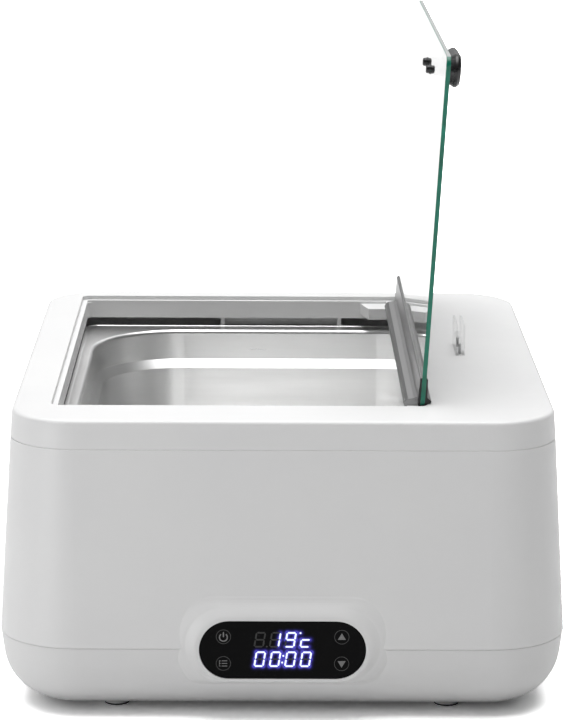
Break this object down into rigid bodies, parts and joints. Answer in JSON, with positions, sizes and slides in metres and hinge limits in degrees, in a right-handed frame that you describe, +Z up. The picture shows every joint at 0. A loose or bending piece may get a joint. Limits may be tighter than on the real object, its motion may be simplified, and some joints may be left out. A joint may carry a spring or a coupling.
{
  "type": "water bath",
  "caption": "Laboratory water bath: white flared housing, stainless tank, hinged glass lid open on its stop, clear deck clip, black pill-shaped touch panel and rear mains inlet.",
  "frame": {"origin": "centre of the footprint, on the plane of the feet's soles", "axes": "+X to the right of a user facing the panel, +Y to the back, +Z up"},
  "size_m": [0.512, 0.62, 0.5886],
  "materials": {
    "white_housing": "smooth satin moulded plastic, very light neutral white",
    "black_rubber": "dark rubber",
    "steel_hardware": "zinc-plated and stainless fixings",
    "black_steel": "blackened steel",
    "stainless_tank": "deep-drawn stainless steel, satin inside",
    "white_silicone": "translucent white silicone or nylon",
    "zinc_sheet": "galvanised sheet",
    "aluminium_plate": "mill finish",
    "red_silicone": "silicone heating mat",
    "grey_profile": "extruded aluminium, satin grey",
    "insulation": "glass-fibre felt",
    "circuit_board": "green solder mask",
    "black_plastic": "black satin plastic",
    "black_gloss": "glossy black panel, shows lit digits",
    "display_block": "digit block behind the panel",
    "lid_glass": "clear float glass with green edges",
    "clear_acrylic": "clear acrylic",
    "brass_pins": "plated brass blades",
    "wire_sleeve": "insulated wire"
  },
  "bodies": {
    "housing": {"base_shell": "white_housing", "board_components": "black_plastic", "board_standoffs": "white_silicone", "case_screws": "steel_hardware", "clip_screws": "steel_hardware", "control_panel": "black_gloss", "cover_screws": "steel_hardware", "deck_clip": "clear_acrylic", "display_board": "circuit_board", "display_bracket": "white_housing", "display_cable": "wire_sleeve", "foot_screws": "steel_hardware", "heat_shield": "zinc_sheet", "heat_sink": "aluminium_plate", "heater_mat": "red_silicone", "heater_plate": "aluminium_plate", "heater_wires": "wire_sleeve", "hinge_bushes": "white_silicone", "hinge_pins": "steel_hardware", "inlet_pins": "brass_pins", "inlet_screws": "steel_hardware", "inlet_wires": "wire_sleeve", "insulation_pad": "insulation", "insulation_wrap": "insulation", "led_display": "display_block", "main_shell": "white_housing", "post_screws": "steel_hardware", "power_board": "circuit_board", "power_inlet": "black_plastic", "rubber_feet": "black_rubber", "switch_body": "black_plastic", "tank": "stainless_tank", "tank_frame": "zinc_sheet", "tank_gasket": "white_silicone", "tank_posts": "zinc_sheet", "temperature_sensor": "steel_hardware", "thermal_cutout": "black_plastic", "top_cover": "white_housing", "touch_pads": "white_silicone"},
    "lid": {"lid_glass": "lid_glass", "hinge_profile": "grey_profile", "jaw_caps": "black_plastic", "lid_knob": "black_plastic", "knob_screws": "black_steel", "knob_washers": "black_steel", "knob_sleeves": "white_silicone"},
    "rocker": {"power_rocker": "black_plastic"}
  },
  "joints": [
    {"name": "lid_hinge", "type": "hinge", "parent": "housing", "child": "lid", "pos_m": [0.1175, 0.0175, 0.265], "axis": [0, -1, 0], "range_deg": [0, 93.4]},
    {"name": "power_switch", "type": "hinge", "parent": "housing", "child": "rocker", "pos_m": [0.188, 0.3054, 0.103], "axis": [-1, 0, 0], "range_deg": [0, 18]}
  ]
}
